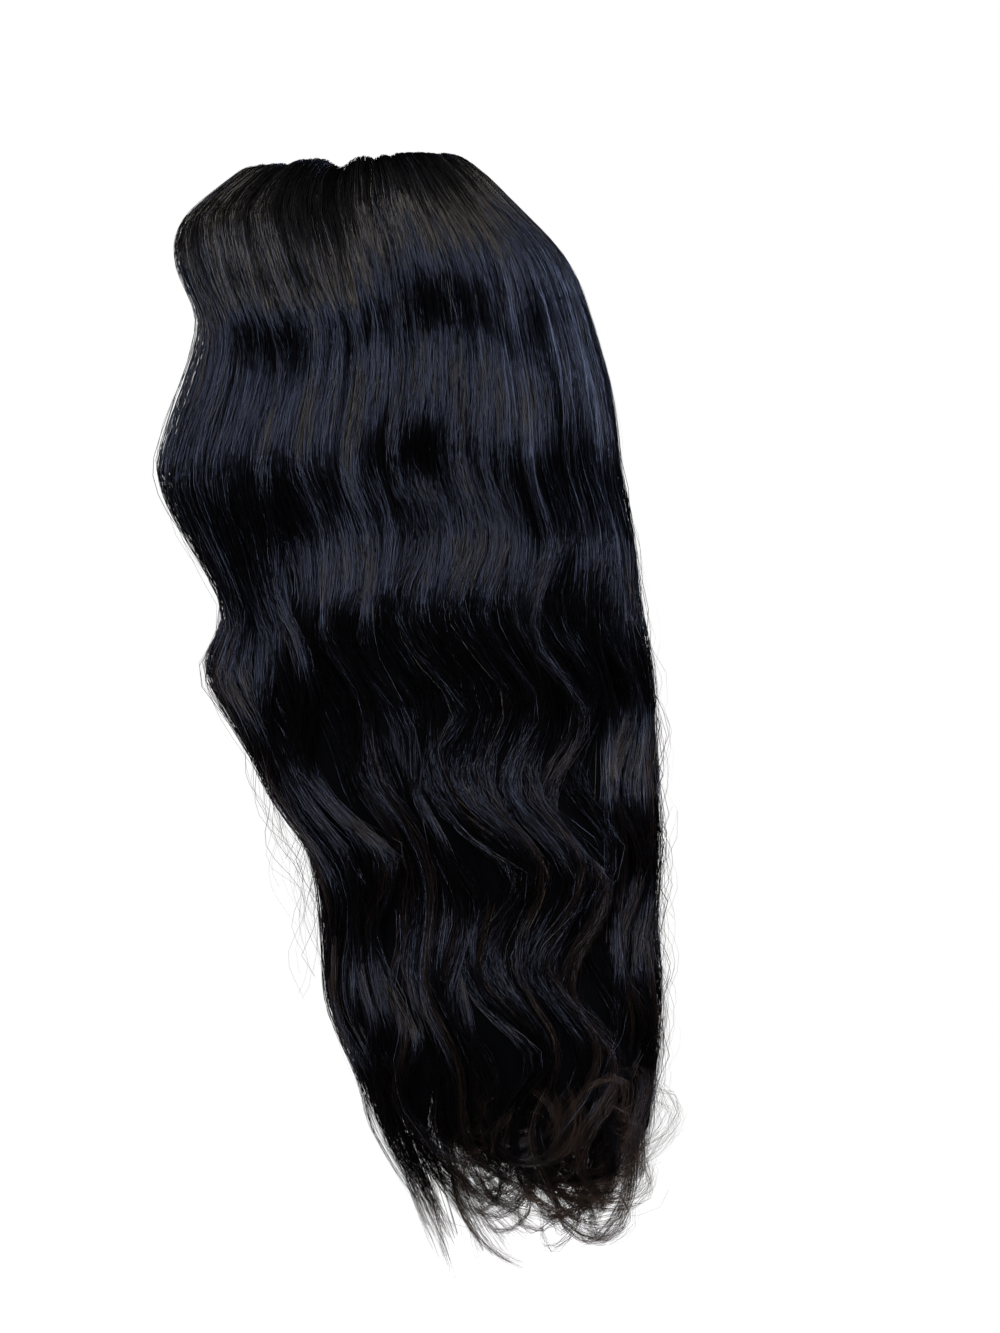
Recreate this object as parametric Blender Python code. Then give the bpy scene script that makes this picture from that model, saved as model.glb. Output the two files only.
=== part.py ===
"""Long body-wave lace front wig in its worn form, built as its maker puts it together.

A stretch-net cap, a lace front with ear tabs and an elastic nape band make the hollow that sits on the head.
The hair hangs round it in six sewn sections of wavy locks, parted in the middle and open at the face.
Metres, +Z up, -Y is the face side, +X the wearer's left. The origin is the inside of the crown.
"""

import math

import bmesh
import bpy
import numpy as np

MM = 0.001

# The head that the cap is cut for: a 57 cm girth, its crown at the origin.
HEAD_HALF_WIDTH = 77 * MM
HEAD_HALF_LENGTH = 98 * MM
CROWN_HEIGHT = 95 * MM  # from the widest level of the head up to the crown
NAPE_DEPTH = 120 * MM  # how steeply the head draws in below that level
HEAD_CENTRE = np.array([0.0, 0.0, -CROWN_HEIGHT])

# The cap's cloth walls, the seams between them, and the facets that they are drawn with.
CAP_WALL = 1.5 * MM
LACE_WALL = 1.0 * MM
BAND_WALL = 2.0 * MM
SEAM_GAP = 0.4 * MM
HAIR_CLEARANCE = 2.9 * MM  # from the head to the hair's underside, walls and facets included
CAP_RINGS = 9
CAP_FRONT_SPANS = 16
CAP_BACK_SPANS = 21
LACE_SPANS = 24
LACE_ROWS = 5
BAND_SPANS = 14
TAB_SPANS = 6

# The cap's lower edge: bearing from the face in degrees, and height of the edge in mm.
RIM = (
    # bearing, height
    (0, -40),
    (30, -43),
    (55, -60),
    (72, -84),
    (90, -97),
    (115, -116),
    (145, -145),
    (180, -156),
)
# The seam where the lace is sewn to the cap: bearing, and share of the way from crown to edge.
LACE_SEAM = (
    # bearing, share
    (0, 0.20),
    (30, 0.34),
    (60, 0.56),
    (80, 0.76),
)
LACE_REACH = 80  # bearing where the lace ends, just ahead of the ear
# The ear tabs and the nape band: bearings in degrees, and drops below the edge as a share of the way to it.
TAB_BEARING = 73.0
TAB_HALF_WIDTH = 7.5
TAB_SHOULDER = 0.05
TAB_DROP = 0.27
BAND_FROM = 122.0
BAND_DROP = 0.10

# The hair's outer form, one row for each section or fold, in mm. fall is the way along the hair from the
# parting, height and front_height the section's level at the back and at its front edge, front and back its
# reach along Y, half_width its reach along X, edge how far the front edge stands from the middle, middle the
# Y of the widest place, and thick the depth of the hair there.
SECTION_COLUMNS = ("fall", "height", "front_height", "front", "back", "half_width", "edge", "middle", "thick")
SECTIONS = (
    (0, 20, 13, -78, 12, 3, 1.0, -15, 17),
    (20, 22, 12, -90, 30, 20, 3, -15, 18),
    (45, 12, -1, -109, 45, 46, 6, -12, 19),
    (75, -12, -19, -127, 68, 70, 12, -8, 20),
    (105, -40, -38, -132, 93, 86, 26, 0, 22),
    (135, -68, -62, -126, 106, 95, 41, 5, 24),
    (165, -98, -90, -120, 115, 101, 52, 8, 26),
    (205, -136, -132, -134, 124, 111, 61, 8, 26),
    (245, -174, -174, -143, 128, 109, 66, 8, 25),
    (290, -217, -217, -119, 135, 106, 62, 12, 22),
    (320, -247, -247, -105, 137, 115, 63, 16, 22),
    (346, -273, -273, -116, 142, 112, 66, 18, 23),
    (396, -322, -322, -94, 148, 104, 65, 30, 22),
    (446, -371, -371, -63, 149, 114, 73, 48, 24),
    (496, -420, -420, -52, 150, 101, 70, 55, 22),
    (552, -475, -475, -46, 151, 109, 74, 60, 22),
    (603, -525, -525, -24, 149, 94, 64, 66, 20),
    (650, -571, -571, -9, 140, 88, 50, 68, 18),
    (700, -620, -620, 2, 122, 74, 34, 62, 14),
)

# The parting on top of the cap, where the hair rises from it.
PARTING_FRONT = -88 * MM
CROWN_POINT = 25 * MM
PARTING_GAP = 1.5 * MM
CROWN_SWIRL = 5 * MM
SWIRL_SHARE = 0.35  # share of the way round, from the back, that fans out of the crown
PARTING_CROWDING = 1.8  # how much closer the locks stand towards the front of the parting
ROOT_DEPTH = 2 * MM
RISE = 18 * MM  # fall along which the hair lifts from its roots to full height
LEAVES_CAP = (90 * MM, 170 * MM)  # fall along which the hair's underside leaves the cap and hangs free

# Locks: how many on each side, which of them make up each section, and where they part into free ends.
LOCKS = 8
SPANS = 3  # facets across a lock
FUSED_ROWS = 33
ROW_CROWDING = 1.15  # how much closer the rows stand towards the parting
FREE_ROWS = 8
PARTED_AT = 560 * MM
TIP_WIDTH = 0.34  # width and depth of a lock's tip, as shares of the whole lock's
TIP_DEPTH = 0.40
LOCK_TIPS = (
    # end in mm of fall, curl towards the face and lift off the back in mm at the tip; from the back forwards
    (666, -8, 5),
    (680, 9, -4),
    (690, -7, 6),
    (706, 10, 3),
    (694, -9, -3),
    (704, 8, 5),
    (688, -6, -2),
    (678, 5, 3),
)
GROOVE = 5 * MM  # depth of the hollow between two locks
GROOVE_ON_TOP = 0.4  # share of that depth on top of the head
SECTION_GAP = 0.5 * MM
HAIR_SECTIONS = (
    # name, first lock, last lock
    ("hair_back", 0, 1),
    ("hair_side", 2, 4),
    ("hair_front", 5, 7),
)

# The sway of the body wave along the hair's girth, and how its crests wander round that girth.
WAVE_LENGTH = 102 * MM
GIRTH = 310 * MM  # of one side, from the middle of the back to the front edge
SWAY = 11 * MM
BACK_SWAY = 7 * MM
CREST_WANDER = 11 * MM
CRESTS_ROUND = 1.6  # wanders of the crest in the girth of one side
WAVES_FROM = (160 * MM, 400 * MM)  # fall along which the sway grows


def smoothstep(low, high, value):
    share = np.clip((value - low) / (high - low), 0, 1)
    return share * share * (3 - 2 * share)


def smooth_through(places, values, at):
    """A smooth curve through a table's rows, with the slope at each row taken from its neighbours."""
    places, values = np.asarray(places, float), np.asarray(values, float)
    slopes = np.gradient(values, places)
    row = np.clip(np.searchsorted(places, at) - 1, 0, len(places) - 2)
    step = places[row + 1] - places[row]
    t = np.clip((at - places[row]) / step, 0, 1)
    rise, fall = t * t * (3 - 2 * t), t * (1 - t)
    bend = slopes[row] * (1 - t) - slopes[row + 1] * t
    return values[row] * (1 - rise) + values[row + 1] * rise + step * fall * bend


def on_head(bearing, share, stand_off=0.0):
    """A point on the head, share of the way from the crown to the cap's edge, stand_off out from the skin."""
    edge = edge_angle(bearing) * share
    girth = np.sin(edge)
    depth = np.where(edge < math.pi / 2, CROWN_HEIGHT + stand_off, NAPE_DEPTH + stand_off)
    turn = np.radians(bearing)
    return HEAD_CENTRE + np.stack(
        [
            (HEAD_HALF_WIDTH + stand_off) * girth * np.sin(turn),
            -(HEAD_HALF_LENGTH + stand_off) * girth * np.cos(turn),
            depth * np.cos(edge),
        ],
        axis=-1,
    )


def edge_angle(bearing):
    """The angle at the head's centre, from the crown down to the cap's edge, in radians."""
    bearings, heights = zip(*RIM)
    height = smooth_through(bearings, heights, np.abs(bearing)) * MM + CROWN_HEIGHT
    above = np.arccos(np.clip(height / CROWN_HEIGHT, 0, 1))
    below = math.pi / 2 + np.arcsin(np.clip(-height / NAPE_DEPTH, 0, 1))
    return np.where(height > 0, above, below)


def seam_share(bearing):
    """Where the lace's seam lies, as a share of the way from the crown to the cap's edge."""
    bearings, shares = zip(*LACE_SEAM)
    return smooth_through(bearings, shares, np.abs(bearing))


def outside_head(points, stand_off):
    """The points, with those nearer the head than stand_off moved out to that distance."""
    offset = points - HEAD_CENTRE
    depth = np.where(offset[..., 2] > 0, CROWN_HEIGHT, NAPE_DEPTH) + stand_off
    size = np.stack(
        [
            np.full_like(depth, HEAD_HALF_WIDTH + stand_off),
            np.full_like(depth, HEAD_HALF_LENGTH + stand_off),
            depth,
        ],
        axis=-1,
    )
    reach = np.linalg.norm(offset / size, axis=-1, keepdims=True)
    return HEAD_CENTRE + offset * np.maximum(1, 1 / reach)


def onto_head(points, stand_off):
    """The points moved along the line to the head's centre until they lie stand_off out from the skin."""
    inside = HEAD_CENTRE + (points - HEAD_CENTRE) * 0.02
    return outside_head(inside, stand_off)


def column(name, fall):
    """One of the section table's columns, in metres, at a way along the hair."""
    place = SECTION_COLUMNS.index(name)
    return smooth_through([row[0] for row in SECTIONS], [row[place] for row in SECTIONS], fall / MM) * MM


def root_line(side, around):
    """Where the hair leaves the cap: along the parting, and round the crown at its back end."""
    along = np.clip((1 - around) / (1 - SWIRL_SHARE), 0, 1)
    swirl = math.pi / 2 * np.clip(around / SWIRL_SHARE, 0, 1)
    across = SECTION_GAP / 2 + (PARTING_GAP - SECTION_GAP / 2) * np.sin(swirl)
    length = PARTING_FRONT + (CROWN_POINT - PARTING_FRONT) * along**PARTING_CROWDING
    length = length + CROWN_SWIRL * np.cos(swirl)
    drop = (length / HEAD_HALF_LENGTH) ** 2 + (across / HEAD_HALF_WIDTH) ** 2
    height = HEAD_CENTRE[2] + CROWN_HEIGHT * np.sqrt(np.maximum(0, 1 - drop))
    return outside_head(np.stack([side * across, length, height], axis=-1), HAIR_CLEARANCE + ROOT_DEPTH)


def fallen(side, around, fall):
    """A point on the outside of the hair as it falls: around is 0 at the back and 1 at the front edge."""
    wander = CREST_WANDER * np.sin(2 * math.pi * (CRESTS_ROUND * around + 0.2 * side))
    crest = fall + wander * smoothstep(*WAVES_FROM, fall)
    front, back, half_width, edge, middle = (
        column(name, crest) for name in ("front", "back", "half_width", "edge", "middle")
    )
    to_side = math.pi / 2 * np.clip(around / 0.5, 0, 1)
    edge_turn = np.arccos(np.minimum(edge / half_width, 0.97))
    to_edge = edge_turn * np.clip((around - 0.5) / 0.5, 0, 1)
    across = half_width * np.where(around < 0.5, np.sin(to_side), np.cos(to_edge))
    length = np.where(
        around < 0.5,
        middle + (back - middle) * np.cos(to_side),
        middle - (middle - front) * np.sin(to_edge) / np.sin(edge_turn),
    )
    level, front_level = column("height", fall), column("front_height", fall)
    height = level + (front_level - level) * smoothstep(0.4, 1.0, around)
    drift = BACK_SWAY * np.sin(2 * math.pi * fall / WAVE_LENGTH) * smoothstep(*WAVES_FROM, fall)
    drift = drift * (1 - smoothstep(0, 0.5, around))
    return np.stack([side * across + drift, length, height], axis=-1)


def outside(side, around, fall):
    """The outside of the hair, from its roots on the cap down."""
    sway = SWAY * np.sin(2 * math.pi * fall / WAVE_LENGTH + 0.8 * side) * smoothstep(*WAVES_FROM, fall)
    free = np.sin(math.pi * around)  # the middle of the back and the front edge keep their line
    swayed = np.clip(around + sway / GIRTH * free, 0, 1)
    lift = smoothstep(0, RISE, fall)[..., None]
    return root_line(side, around) * (1 - lift) + fallen(side, swayed, fall) * lift


def outward(side, around, fall):
    """The direction out of the hair's surface, straight back in the middle of the back."""
    step = 4 * MM
    before, after = np.maximum(around - step / GIRTH, 0), np.minimum(around + step / GIRTH, 1)
    across = outside(side, after, fall) - outside(side, before, fall)
    down = outside(side, around, fall + step) - outside(side, around, np.maximum(fall - step, 0))
    normal = np.cross(across, down) * side
    normal[..., 0] *= smoothstep(0.002, 0.06, around)
    normal[..., 2] *= smoothstep(0.002, 0.06, around)
    return normal / np.linalg.norm(normal, axis=-1, keepdims=True)


def inside(side, around, fall, skin, thinned):
    """The underside of the hair below the point skin: on the cap as far as that goes, then hanging free."""
    depth = column("thick", fall)[..., None] * thinned[..., None]
    to_cap = onto_head(skin, HAIR_CLEARANCE) - skin
    reach = np.linalg.norm(to_cap, axis=-1, keepdims=True)
    seated = skin + to_cap * np.minimum(1, depth / np.maximum(reach, 1e-6))
    hanging = skin - outward(side, around, fall) * depth
    free = smoothstep(*LEAVES_CAP, fall)[..., None]
    return outside_head(seated * (1 - free) + hanging * free, HAIR_CLEARANCE)


def material(name, colour, roughness):
    made = bpy.data.materials.new(name)
    made.use_nodes = True
    shader = made.node_tree.nodes["Principled BSDF"]
    shader.inputs["Base Color"].default_value = (*colour, 1)
    shader.inputs["Roughness"].default_value = roughness
    made.diffuse_color = (*colour, 1)
    return made


def add_object(name, mesh_maker, finish):
    mesh = bmesh.new()
    mesh_maker(mesh)
    bmesh.ops.recalc_face_normals(mesh, faces=mesh.faces)
    data = bpy.data.meshes.new(name)
    mesh.to_mesh(data)
    mesh.free()
    data.materials.append(finish)
    data.shade_smooth()
    data.set_sharp_from_angle(angle=math.radians(40))
    made = bpy.data.objects.new(name, data)
    bpy.context.scene.collection.objects.link(made)
    return made


def verts_of(mesh, points):
    """Vertices for a grid of points, as nested lists."""
    return [[mesh.verts.new(point) for point in row] for row in points]


def skin_grid(mesh, grid, closed=False):
    """Quads between the rows and columns of a grid of vertices."""
    for upper, lower in zip(grid, grid[1:]):
        ends = [*range(len(upper) - 1), *([-1] if closed else [])]
        for i in ends:
            mesh.faces.new((upper[i], upper[i + 1], lower[i + 1], lower[i]))


def cloth_patch(bearings, upper, lower, wall, rows):
    """A maker for a curved panel of cloth on the head, between two shares of the way to the cap's edge."""
    shares = np.linspace(0, 1, rows)[:, None] * (lower - upper)[None, :] + upper[None, :]
    spread = np.broadcast_to(bearings, shares.shape)

    def make(mesh):
        skins = [verts_of(mesh, on_head(spread, shares, stand_off)) for stand_off in (0, wall)]
        for grid in skins:
            skin_grid(mesh, grid)
        inner, outer = skins
        for line in (0, -1):
            skin_grid(mesh, [inner[line], outer[line]])
            skin_grid(mesh, [[row[line] for row in inner], [row[line] for row in outer]])

    return make


def cap_maker(mesh):
    """The net dome: closed over the crown, cut back to the lace's seam in front and to the edge elsewhere."""
    ahead = np.linspace(-LACE_REACH, LACE_REACH, CAP_FRONT_SPANS + 1)
    behind = np.linspace(LACE_REACH + 1, 360 - LACE_REACH - 1, CAP_BACK_SPANS + 1)
    bearings = np.concatenate([ahead, behind])
    signed = np.where(bearings > 180, bearings - 360, bearings)
    lowest = np.where(np.abs(signed) <= LACE_REACH, seam_share(signed) - gap_share(), 1.0)
    rings = np.linspace(0, 1, CAP_RINGS + 1)[1:]
    skins = []
    for stand_off in (0, CAP_WALL):
        spread = np.broadcast_to(signed, (len(rings), len(signed)))
        grid = verts_of(mesh, on_head(spread, rings[:, None] * lowest[None, :], stand_off))
        pole = mesh.verts.new(on_head(np.array(0.0), np.array(0.0), stand_off))
        for i in range(len(signed)):
            mesh.faces.new((pole, grid[0][i - 1], grid[0][i]))
        skin_grid(mesh, grid, closed=True)
        skins.append(grid)
    skin_grid(mesh, [skins[0][-1], skins[1][-1]], closed=True)


def gap_share():
    """The seam's gap, as a share of the way from the crown to the cap's edge."""
    return SEAM_GAP / (CROWN_HEIGHT * 1.1)


def make_cap_pieces():
    net = material("cap_net", (0.012, 0.011, 0.011), 0.85)
    lace = material("swiss_lace", (0.32, 0.24, 0.19), 0.8)
    elastic = material("elastic", (0.015, 0.014, 0.014), 0.7)
    add_object("cap", cap_maker, net)
    front = np.linspace(-LACE_REACH, LACE_REACH, LACE_SPANS + 1)
    hairline = np.ones_like(front)
    strip = cloth_patch(front, seam_share(front) + gap_share(), hairline, LACE_WALL, LACE_ROWS)
    add_object("lace_front", strip, lace)
    for name, side in (("ear_tab_left", 1), ("ear_tab_right", -1)):
        reach = np.linspace(-1, 1, TAB_SPANS + 1)
        bearings = side * (TAB_BEARING + TAB_HALF_WIDTH * reach)
        top = np.full_like(reach, 1 + 1.5 * gap_share())
        tip = top + TAB_SHOULDER + (TAB_DROP - TAB_SHOULDER) * np.sqrt(1 - 0.96 * reach**2)
        add_object(name, cloth_patch(bearings, top, tip, CAP_WALL, 4), net)
    nape = np.linspace(BAND_FROM, 360 - BAND_FROM, BAND_SPANS + 1)
    signed = np.where(nape > 180, nape - 360, nape)
    top = np.full_like(nape, 1 + gap_share())
    add_object("nape_band", cloth_patch(signed, top, top + BAND_DROP, BAND_WALL, 3), elastic)


def lock_falls(lock):
    """The rows of one lock, as ways along the hair: the rows it shares, then those of its own free end."""
    shared = PARTED_AT * np.linspace(0, 1, FUSED_ROWS + 1) ** ROW_CROWDING
    own = np.linspace(PARTED_AT, LOCK_TIPS[lock][0] * MM, FREE_ROWS + 1)[1:]
    return shared, own


def lock_surface(side, lock, falls, first, last):
    """Outer and inner points of one lock. first and last tell whether a section ends at that side of it."""
    end, curl, lift = (value * MM for value in LOCK_TIPS[lock])
    share = np.linspace(0, 1, SPANS + 1)
    ended = np.clip((falls - PARTED_AT) / (end - PARTED_AT), 0, 1) ** 2
    width = 1 - (1 - TIP_WIDTH) * ended
    middle = lock + 0.5 + ended * curl / (GIRTH / LOCKS)
    around = (middle[:, None] + (share[None, :] - 0.5) * width[:, None]) / LOCKS
    margin = SECTION_GAP / 2 / GIRTH
    low = (lock / LOCKS + margin) if first else 0
    high = ((lock + 1) / LOCKS - margin) if last and lock < LOCKS - 1 else 1
    around = np.clip(around, low, high)
    falls = np.broadcast_to(falls[:, None], around.shape)
    thinned = np.broadcast_to(1 - (1 - TIP_DEPTH) * ended[:, None], around.shape)
    hollow = np.abs(share * 2 - 1) ** 3 * GROOVE
    opened = GROOVE_ON_TOP + (1 - GROOVE_ON_TOP) * smoothstep(*LEAVES_CAP, falls)
    groove = hollow[None, :] * opened * smoothstep(0, RISE, falls) * thinned
    skin = outside(side, around, falls)
    under = inside(side, around, falls, skin, thinned)
    normal = outward(side, around, falls)
    lifted = normal * (ended * lift)[:, None, None]
    return skin + lifted - normal * groove[..., None], under + lifted


def hair_maker(side, first_lock, last_lock):
    """A maker for one sewn section: locks that share a weft down to PARTED_AT, and hang free below it."""
    locks = range(first_lock, last_lock + 1)

    def make(mesh):
        fused = [[], []]
        for lock in locks:
            shared, _ = lock_falls(lock)
            skins = lock_surface(side, lock, shared, lock == first_lock, lock == last_lock)
            for grid, points in zip(fused, skins):
                kept = points if lock == first_lock else points[:, 1:]
                for row, added in zip(verts_of(mesh, kept), range(len(kept))):
                    if lock == first_lock:
                        grid.append(row)
                    else:
                        grid[added].extend(row)
        outer, inner = fused
        skin_grid(mesh, outer)
        skin_grid(mesh, inner)
        skin_grid(mesh, [outer[0], inner[0]])
        for edge in (0, -1):
            skin_grid(mesh, [[row[edge] for row in outer], [row[edge] for row in inner]])
        for number, lock in enumerate(locks):
            _, own = lock_falls(lock)
            skins = lock_surface(side, lock, own, lock == first_lock, lock == last_lock)
            ends = slice(number * SPANS, (number + 1) * SPANS + 1)
            outer_end, inner_end = (
                [grid[-1][ends], *verts_of(mesh, points)] for grid, points in zip(fused, skins)
            )
            skin_grid(mesh, outer_end)
            skin_grid(mesh, inner_end)
            for edge in (0, -1):
                skin_grid(mesh, [[row[edge] for row in outer_end], [row[edge] for row in inner_end]])
            skin_grid(mesh, [outer_end[-1], inner_end[-1]])

    return make


def make_hair():
    hair = material("black_hair", (0.010, 0.009, 0.010), 0.35)
    for side, word in ((1, "left"), (-1, "right")):
        for name, first_lock, last_lock in HAIR_SECTIONS:
            add_object(f"{name}_{word}", hair_maker(side, first_lock, last_lock), hair)


def main():
    for old in list(bpy.data.objects):
        bpy.data.objects.remove(old)
    make_cap_pieces()
    make_hair()


main()
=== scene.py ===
import math

import bmesh
import bpy
import numpy as np
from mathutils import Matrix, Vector


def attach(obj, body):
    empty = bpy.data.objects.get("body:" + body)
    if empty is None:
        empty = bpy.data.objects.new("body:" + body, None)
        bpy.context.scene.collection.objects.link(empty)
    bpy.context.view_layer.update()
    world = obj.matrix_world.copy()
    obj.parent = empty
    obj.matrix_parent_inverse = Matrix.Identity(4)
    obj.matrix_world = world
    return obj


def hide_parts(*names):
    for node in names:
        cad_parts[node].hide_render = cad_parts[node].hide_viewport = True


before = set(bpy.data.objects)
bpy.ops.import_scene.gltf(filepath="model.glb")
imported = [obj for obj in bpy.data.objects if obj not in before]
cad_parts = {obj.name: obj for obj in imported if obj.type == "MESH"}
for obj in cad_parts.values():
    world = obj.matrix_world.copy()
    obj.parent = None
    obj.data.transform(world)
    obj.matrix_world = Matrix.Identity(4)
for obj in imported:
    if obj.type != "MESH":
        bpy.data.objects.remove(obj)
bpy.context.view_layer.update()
MM = 0.001


# The cap: a dome of black stretch net, sewn to fit a 57 cm head, with the hair's wefts stitched to it in rows.
# It stays as the frame has it, and only its cloth is made here.
def linear(colour):
    """An sRGB hex colour as linear red, green, blue and alpha."""
    values = [int(colour[i : i + 2], 16) / 255 for i in (1, 3, 5)]
    return [v / 12.92 if v <= 0.04045 else ((v + 0.055) / 1.055) ** 2.4 for v in values] + [1.0]


def add_node(tree, kind, inputs=(), **settings):
    """A shader node with its settings, and its inputs linked or set."""
    node = tree.nodes.new("ShaderNode" + kind)
    for name, value in settings.items():
        setattr(node, name, value)
    for name, value in dict(inputs).items():
        if isinstance(value, bpy.types.NodeSocket):
            tree.links.new(value, node.inputs[name])
        else:
            node.inputs[name].default_value = value
    return node


def new_material(name, inputs):
    """A material whose Principled shader is there, with these inputs set, and its node tree."""
    material = bpy.data.materials.new(name)
    material.use_nodes = True
    shader = material.node_tree.nodes["Principled BSDF"]
    for socket, value in inputs.items():
        shader.inputs[socket].default_value = value
    return material, material.node_tree, shader


def stretch_net():
    """Knitted nylon net: matt black, with a 1.6 mm mesh that shows as small dark pits."""
    material, tree, shader = new_material(
        "stretch_net", {"Roughness": 0.82, "IOR": 1.53, "Specular IOR Level": 0.3}
    )
    place = add_node(tree, "TexCoord")
    mesh = add_node(tree, "TexVoronoi", {"Vector": place.outputs["Object"], "Scale": 1 / 0.0016})
    tone = add_node(tree, "ValToRGB", {"Fac": mesh.outputs["Distance"]})
    tone.color_ramp.elements[0].color = linear("#060606")
    tone.color_ramp.elements[1].color = linear("#1c1a1a")
    bump = add_node(
        tree, "Bump", {"Height": mesh.outputs["Distance"], "Distance": 0.0004, "Strength": 0.6}
    )
    tree.links.new(tone.outputs["Color"], shader.inputs["Base Color"])
    tree.links.new(bump.outputs["Normal"], shader.inputs["Normal"])
    return material


def finish_node(name, material):
    """A node of the frame that keeps its shape, with this material."""
    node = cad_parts[name]
    node.data.materials.clear()
    node.data.materials.append(material)


net = stretch_net()
for name in ("cap", "ear_tab_left", "ear_tab_right"):
    finish_node(name, net)


# The lace front: sheer tan lace from ear to ear, into which the front hair is knotted strand by strand.
# It is one layer of fine hexagonal net, so the skin would show through it.
def swiss_lace():
    """Polyester lace: tan threads round 1.2 mm holes, seen as a fine honeycomb."""
    material, tree, shader = new_material(
        "swiss_lace", {"Roughness": 0.7, "IOR": 1.5, "Specular IOR Level": 0.3}
    )
    place = add_node(tree, "TexCoord")
    holes = add_node(
        tree,
        "TexVoronoi",
        {"Vector": place.outputs["Object"], "Scale": 1 / 0.0012},
        feature="DISTANCE_TO_EDGE",
    )
    thread = add_node(tree, "ValToRGB", {"Fac": holes.outputs["Distance"]})
    thread.color_ramp.elements[0].color = linear("#8a6f5c")
    thread.color_ramp.elements[1].position = 0.2
    thread.color_ramp.elements[1].color = linear("#3a2c24")
    tree.links.new(thread.outputs["Color"], shader.inputs["Base Color"])
    return material


finish_node("lace_front", swiss_lace())


# The nape band: a plain strip of woven black elastic sewn inside the back edge, which pulls the cap to the head.
def woven_elastic():
    """Elastic webbing: black, ribbed every 1.5 mm, with a slight sheen on the ribs."""
    material, tree, shader = new_material("woven_elastic", {"Roughness": 0.6, "IOR": 1.53})
    place = add_node(tree, "TexCoord")
    ribs = add_node(
        tree,
        "TexWave",
        {"Vector": place.outputs["Object"], "Scale": 1 / 0.0015 / 20},
        bands_direction="Z",
    )
    bump = add_node(tree, "Bump", {"Height": ribs.outputs["Fac"], "Distance": 0.0004, "Strength": 0.5})
    tree.links.new(bump.outputs["Normal"], shader.inputs["Normal"])
    shader.inputs["Base Color"].default_value = linear("#0d0c0c")
    return material


finish_node("nape_band", woven_elastic())


# The hair's form: it leaves the cap at a middle parting, falls over the head and hangs in a body wave.
# Both halves are open at the face. Everything below grows along this form.
HEAD_HALF_WIDTH = 77 * MM
HEAD_HALF_LENGTH = 98 * MM
CROWN_HEIGHT = 95 * MM
NAPE_DEPTH = 120 * MM
HEAD_CENTRE = np.array([0.0, 0.0, -CROWN_HEIGHT])
HAIR_CLEARANCE = 2.4 * MM

# fall is the way along the hair from the parting. The other columns are one level of the hair: its height at the
# back and at the front edge, its reach to the front, back and side, how far the front edge stands from the middle,
# where it is widest, and how deep the hair is. All are in mm.
SECTION_COLUMNS = ("fall", "height", "front_height", "front", "back", "half_width", "edge", "middle", "thick")
SECTIONS = (
    (0, 18, 13, -78, 12, 3, 1.0, -15, 17),
    (20, 18, 11, -90, 28, 20, 3, -15, 18),
    (45, 10, -2, -109, 43, 46, 6, -12, 19),
    (75, -12, -19, -127, 66, 70, 12, -8, 20),
    (105, -40, -38, -132, 92, 88, 26, 0, 22),
    (125, -60, -54, -129, 102, 96, 36, 4, 23),
    (136, -70, -64, -125, 105, 99, 41, 5, 24),
    (163, -96, -88, -118, 112, 99, 51, 8, 26),
    (190, -122, -116, -124, 119, 105, 58, 8, 26),
    (215, -146, -144, -134, 123, 110, 62, 8, 26),
    (245, -174, -174, -140, 126, 107, 66, 8, 25),
    (268, -196, -196, -132, 131, 104, 64, 10, 24),
    (295, -222, -222, -116, 135, 108, 62, 12, 22),
    (320, -247, -247, -105, 137, 115, 63, 16, 22),
    (346, -273, -273, -116, 142, 112, 66, 18, 23),
    (396, -322, -322, -94, 148, 104, 65, 30, 22),
    (446, -371, -371, -63, 149, 114, 73, 48, 24),
    (496, -420, -420, -52, 150, 101, 70, 55, 22),
    (552, -475, -475, -46, 151, 109, 74, 60, 22),
    (603, -525, -525, -24, 149, 94, 64, 66, 20),
    (650, -571, -571, -9, 140, 88, 50, 68, 18),
    (700, -620, -620, 2, 122, 74, 34, 62, 14),
    (790, -708, -708, 18, 104, 62, 24, 60, 10),
)
# The parting runs from its front end to the crown, where the roots go round a small swirl. SWIRL_SHARE is the part
# of each half's hair, from the back, that grows from that swirl.
PARTING_FRONT = -88 * MM
CROWN_POINT = 25 * MM
PARTING_GAP = 1.2 * MM
CROWN_SWIRL = 5 * MM
SWIRL_SHARE = 0.35
# How far from its root the hair takes to lift to its full height, then the body wave: its length, the girth of one
# half, how far it sways round and across, and how far its crests wander up and down.
RISE = 18 * MM
WAVE_LENGTH = 102 * MM
GIRTH = 310 * MM
SWAY = 11 * MM
BACK_SWAY = 7 * MM
CREST_WANDER = 11 * MM
# From where to where along the fall the body wave sets in.
WAVES_FROM = (160 * MM, 400 * MM)
# Where the top dips between the tufts that rise from the parting: around, half the width, depth in mm.
DIPS = ((0.76, 0.025, 2.5), (0.60, 0.035, 6.5), (0.505, 0.025, 2.5), (0.45, 0.025, 2.5))


def smoothstep(low, high, value):
    share = np.clip((value - low) / (high - low), 0, 1)
    return share * share * (3 - 2 * share)


def smooth_through(places, values, at):
    """A smooth curve through a table's rows, with the slope at each row taken from its neighbours."""
    places, values = np.asarray(places, float), np.asarray(values, float)
    slopes = np.gradient(values, places)
    row = np.clip(np.searchsorted(places, at) - 1, 0, len(places) - 2)
    step = places[row + 1] - places[row]
    t = np.clip((at - places[row]) / step, 0, 1)
    rise, fall = t * t * (3 - 2 * t), t * (1 - t)
    bend = slopes[row] * (1 - t) - slopes[row + 1] * t
    return values[row] * (1 - rise) + values[row + 1] * rise + step * fall * bend


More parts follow.
